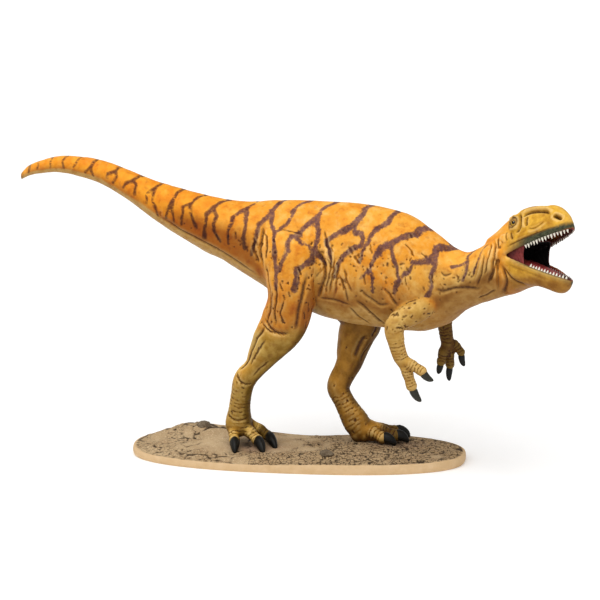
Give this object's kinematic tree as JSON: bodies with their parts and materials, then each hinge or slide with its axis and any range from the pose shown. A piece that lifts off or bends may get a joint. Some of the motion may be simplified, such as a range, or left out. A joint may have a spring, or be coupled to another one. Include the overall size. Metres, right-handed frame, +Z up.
{
  "type": "dinosaur figurine",
  "caption": "Painted theropod dinosaur figurine walking with its mouth open, tail held out behind, standing on a flat oval ground base with small stones.",
  "frame": {"origin": "on the flat underside of the base, close to its middle, below the hips", "axes": "+X from tail to head along the base's long side, +Y to the animal's left, +Z up"},
  "size_m": [0.246, 0.0618, 0.13],
  "materials": {
    "skin_paint": "satin paint",
    "claw_paint": "semi-gloss paint",
    "mouth_paint": "semi-gloss paint",
    "eye_paint": "gloss paint",
    "ground_paint": "matt paint",
    "stone_paint": "matt paint"
  },
  "bodies": {
    "root": {"base": "ground_paint", "stone_left": "stone_paint", "stone_front": "stone_paint", "stone_rear": "stone_paint", "tail_tip": "skin_paint", "tail_mid": "skin_paint", "tail_root": "skin_paint", "torso": "skin_paint", "neck": "skin_paint", "thigh_right": "skin_paint", "shank_right": "skin_paint", "foot_right": "skin_paint", "toe_claw_right_outer": "claw_paint", "toe_claw_right_middle": "claw_paint", "toe_claw_right_inner": "claw_paint", "thigh_left": "skin_paint", "shank_left": "skin_paint", "foot_left": "skin_paint", "toe_claw_left_inner": "claw_paint", "toe_claw_left_middle": "claw_paint", "toe_claw_left_outer": "claw_paint", "upper_arm_right": "skin_paint", "forearm_right": "skin_paint", "hand_right": "skin_paint", "finger_claw_right_first": "claw_paint", "finger_claw_right_second": "claw_paint", "finger_claw_right_third": "claw_paint", "upper_arm_left": "skin_paint", "forearm_left": "skin_paint", "hand_left": "skin_paint", "finger_claw_left_first": "claw_paint", "finger_claw_left_second": "claw_paint", "finger_claw_left_third": "claw_paint", "skull": "skin_paint", "lower_jaw": "skin_paint", "mouth_lining": "mouth_paint", "tongue": "mouth_paint", "eye_right": "eye_paint", "eye_left": "eye_paint"}
  },
  "joints": []
}
